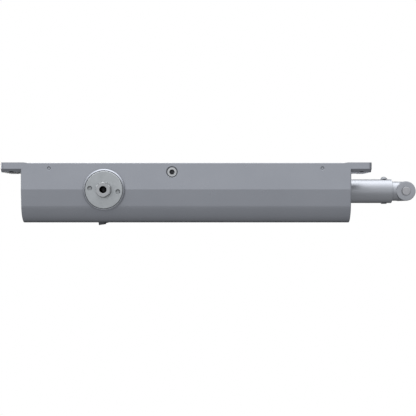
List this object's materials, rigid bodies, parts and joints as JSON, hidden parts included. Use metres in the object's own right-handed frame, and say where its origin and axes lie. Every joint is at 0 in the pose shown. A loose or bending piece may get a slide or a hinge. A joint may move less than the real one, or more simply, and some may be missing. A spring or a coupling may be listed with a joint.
{
  "type": "surface-mounted door closer",
  "caption": "Hydraulic rack-and-pinion door closer with a lugged cast body and a folded two-lever arm that ends in an angle foot.",
  "frame": {"origin": "on the door's surface, straight under the pinion's axis, at the middle of the body's height", "axes": "+X along the body from the pinion towards the spring end, -Y into the door, +Z along the pinion towards the arm"},
  "size_m": [0.404, 0.0605, 0.1299],
  "materials": {
    "housing": "silver grey paint, fine orange peel, satin",
    "end_plug_left": "blackened steel, oiled",
    "end_plug_right": "blackened steel, oiled",
    "end_seal_left": "black nitrile rubber",
    "end_seal_right": "black nitrile rubber",
    "pinion_cap_near": "machined steel, zinc plated, fine turning marks",
    "pinion_cap_far": "machined steel, zinc plated, fine turning marks",
    "shaft_seal_near": "black nitrile rubber",
    "shaft_seal_far": "black nitrile rubber",
    "pinion_bearing_near": "plain machined steel",
    "pinion_bearing_far": "plain machined steel",
    "gallery_plug_left": "silver grey paint, fine orange peel, satin",
    "gallery_plug_right": "silver grey paint, fine orange peel, satin",
    "pinion": "machined steel, zinc plated, fine turning marks",
    "arm_hub": "silver grey paint, fine orange peel, satin",
    "arm_screw": "blackened steel, oiled",
    "arm_washer": "plain machined steel",
    "arm_tube": "silver grey paint, fine orange peel, satin",
    "hub_rivet": "plain machined steel",
    "elbow_rivet": "plain machined steel",
    "elbow_fitting": "silver grey paint, fine orange peel, satin",
    "elbow_pin": "plain machined steel",
    "elbow_washer": "machined brass",
    "forearm_rod": "machined steel, zinc plated, fine turning marks",
    "forearm_sleeve": "silver grey paint, fine orange peel, satin",
    "clamp_screw": "blackened steel, oiled",
    "foot_bracket": "dark grey paint, fine orange peel, satin",
    "foot_pin": "plain machined steel",
    "foot_washer": "plain machined steel",
    "piston": "plain machined steel",
    "piston_ring": "blackened steel, oiled",
    "ball_retainer": "blackened steel, oiled",
    "closing_spring": "plain machined steel",
    "check_ball": "plain machined steel",
    "backcheck_valve": "machined steel, zinc plated, fine turning marks",
    "sweep_valve": "machined brass",
    "latch_valve": "machined brass",
    "spring_adjuster": "blackened steel, oiled",
    "spring_seat": "plain machined steel"
  },
  "bodies": {
    "housing": {"housing": "housing", "end_plug_left": "end_plug_left", "end_plug_right": "end_plug_right", "end_seal_left": "end_seal_left", "end_seal_right": "end_seal_right", "pinion_cap_near": "pinion_cap_near", "pinion_cap_far": "pinion_cap_far", "shaft_seal_near": "shaft_seal_near", "shaft_seal_far": "shaft_seal_far", "pinion_bearing_near": "pinion_bearing_near", "pinion_bearing_far": "pinion_bearing_far", "gallery_plug_left": "gallery_plug_left", "gallery_plug_right": "gallery_plug_right"},
    "main_arm": {"pinion": "pinion", "arm_hub": "arm_hub", "arm_screw": "arm_screw", "arm_washer": "arm_washer", "arm_tube": "arm_tube", "hub_rivet": "hub_rivet", "elbow_rivet": "elbow_rivet", "elbow_fitting": "elbow_fitting", "elbow_pin": "elbow_pin", "elbow_washer": "elbow_washer"},
    "forearm": {"forearm_rod": "forearm_rod"},
    "sleeve": {"forearm_sleeve": "forearm_sleeve"},
    "clamp": {"clamp_screw": "clamp_screw"},
    "foot": {"foot_bracket": "foot_bracket", "foot_pin": "foot_pin", "foot_washer": "foot_washer"},
    "piston_set": {"piston": "piston", "piston_ring": "piston_ring", "ball_retainer": "ball_retainer", "closing_spring": "closing_spring"},
    "ball": {"check_ball": "check_ball"},
    "backcheck": {"backcheck_valve": "backcheck_valve"},
    "sweep": {"sweep_valve": "sweep_valve"},
    "latch": {"latch_valve": "latch_valve"},
    "adjuster": {"spring_adjuster": "spring_adjuster"},
    "seat": {"spring_seat": "spring_seat"}
  },
  "joints": [
    {"name": "pinion_spin", "type": "hinge", "parent": "housing", "child": "main_arm", "pos_m": [0, 0.0259, 0], "axis": [0, 0, 1], "range_deg": [0, 180], "stiffness_Nm_per_rad": 4, "springref_deg": -114.59},
    {"name": "piston_slide", "type": "slide", "parent": "housing", "child": "piston_set", "axis": [1, 0, 0], "range_m": [0, 0.0283], "deforming": ["closing_spring"]},
    {"name": "elbow_pivot", "type": "hinge", "parent": "main_arm", "child": "forearm", "pos_m": [0.2963, 0.0259, 0.0688], "axis": [0, 0, 1], "range_deg": [-175, 175]},
    {"name": "forearm_length", "type": "slide", "parent": "forearm", "child": "sleeve", "axis": [-1, 0, 0], "range_m": [-0.01, 0.03]},
    {"name": "clamp_turn", "type": "hinge", "parent": "sleeve", "child": "clamp", "pos_m": [0.178, 0.0259, 0.0688], "axis": [0, 1, 0], "range_deg": [0, 360]},
    {"name": "foot_pivot", "type": "hinge", "parent": "sleeve", "child": "foot", "pos_m": [0.0153, 0.0259, 0.0688], "axis": [0, 0, 1], "range_deg": [-105, 105]},
    {"name": "ball_lift", "type": "slide", "parent": "piston_set", "child": "ball", "axis": [-1, 0, 0], "range_m": [0, 0.001]},
    {"name": "backcheck_turn", "type": "hinge", "parent": "housing", "child": "backcheck", "pos_m": [0.0639, 0.009, -0.0293], "axis": [0, 0, 1], "range_deg": [-180, 180]},
    {"name": "sweep_turn", "type": "hinge", "parent": "housing", "child": "sweep", "pos_m": [-0.0777, 0.015, -0.0226], "axis": [1, 0, 0], "range_deg": [-180, 180]},
    {"name": "latch_turn", "type": "hinge", "parent": "housing", "child": "latch", "pos_m": [-0.0777, 0.015, 0.0226], "axis": [1, 0, 0], "range_deg": [-180, 180]},
    {"name": "adjuster_turn", "type": "hinge", "parent": "housing", "child": "adjuster", "pos_m": [0.2315, 0.0275, 0], "axis": [1, 0, 0], "range_deg": [0, 1802]},
    {"name": "seat_slide", "type": "slide", "parent": "housing", "child": "seat", "axis": [-1, 0, 0], "range_m": [0, 0.01], "deforming": ["closing_spring"]}
  ],
  "couplings": [
    {"joint": "piston_slide", "follows": "pinion_spin", "m_per_rad": 0.009},
    {"joint": "adjuster_turn", "follows": "seat_slide", "rad_per_m": 3141.6}
  ]
}
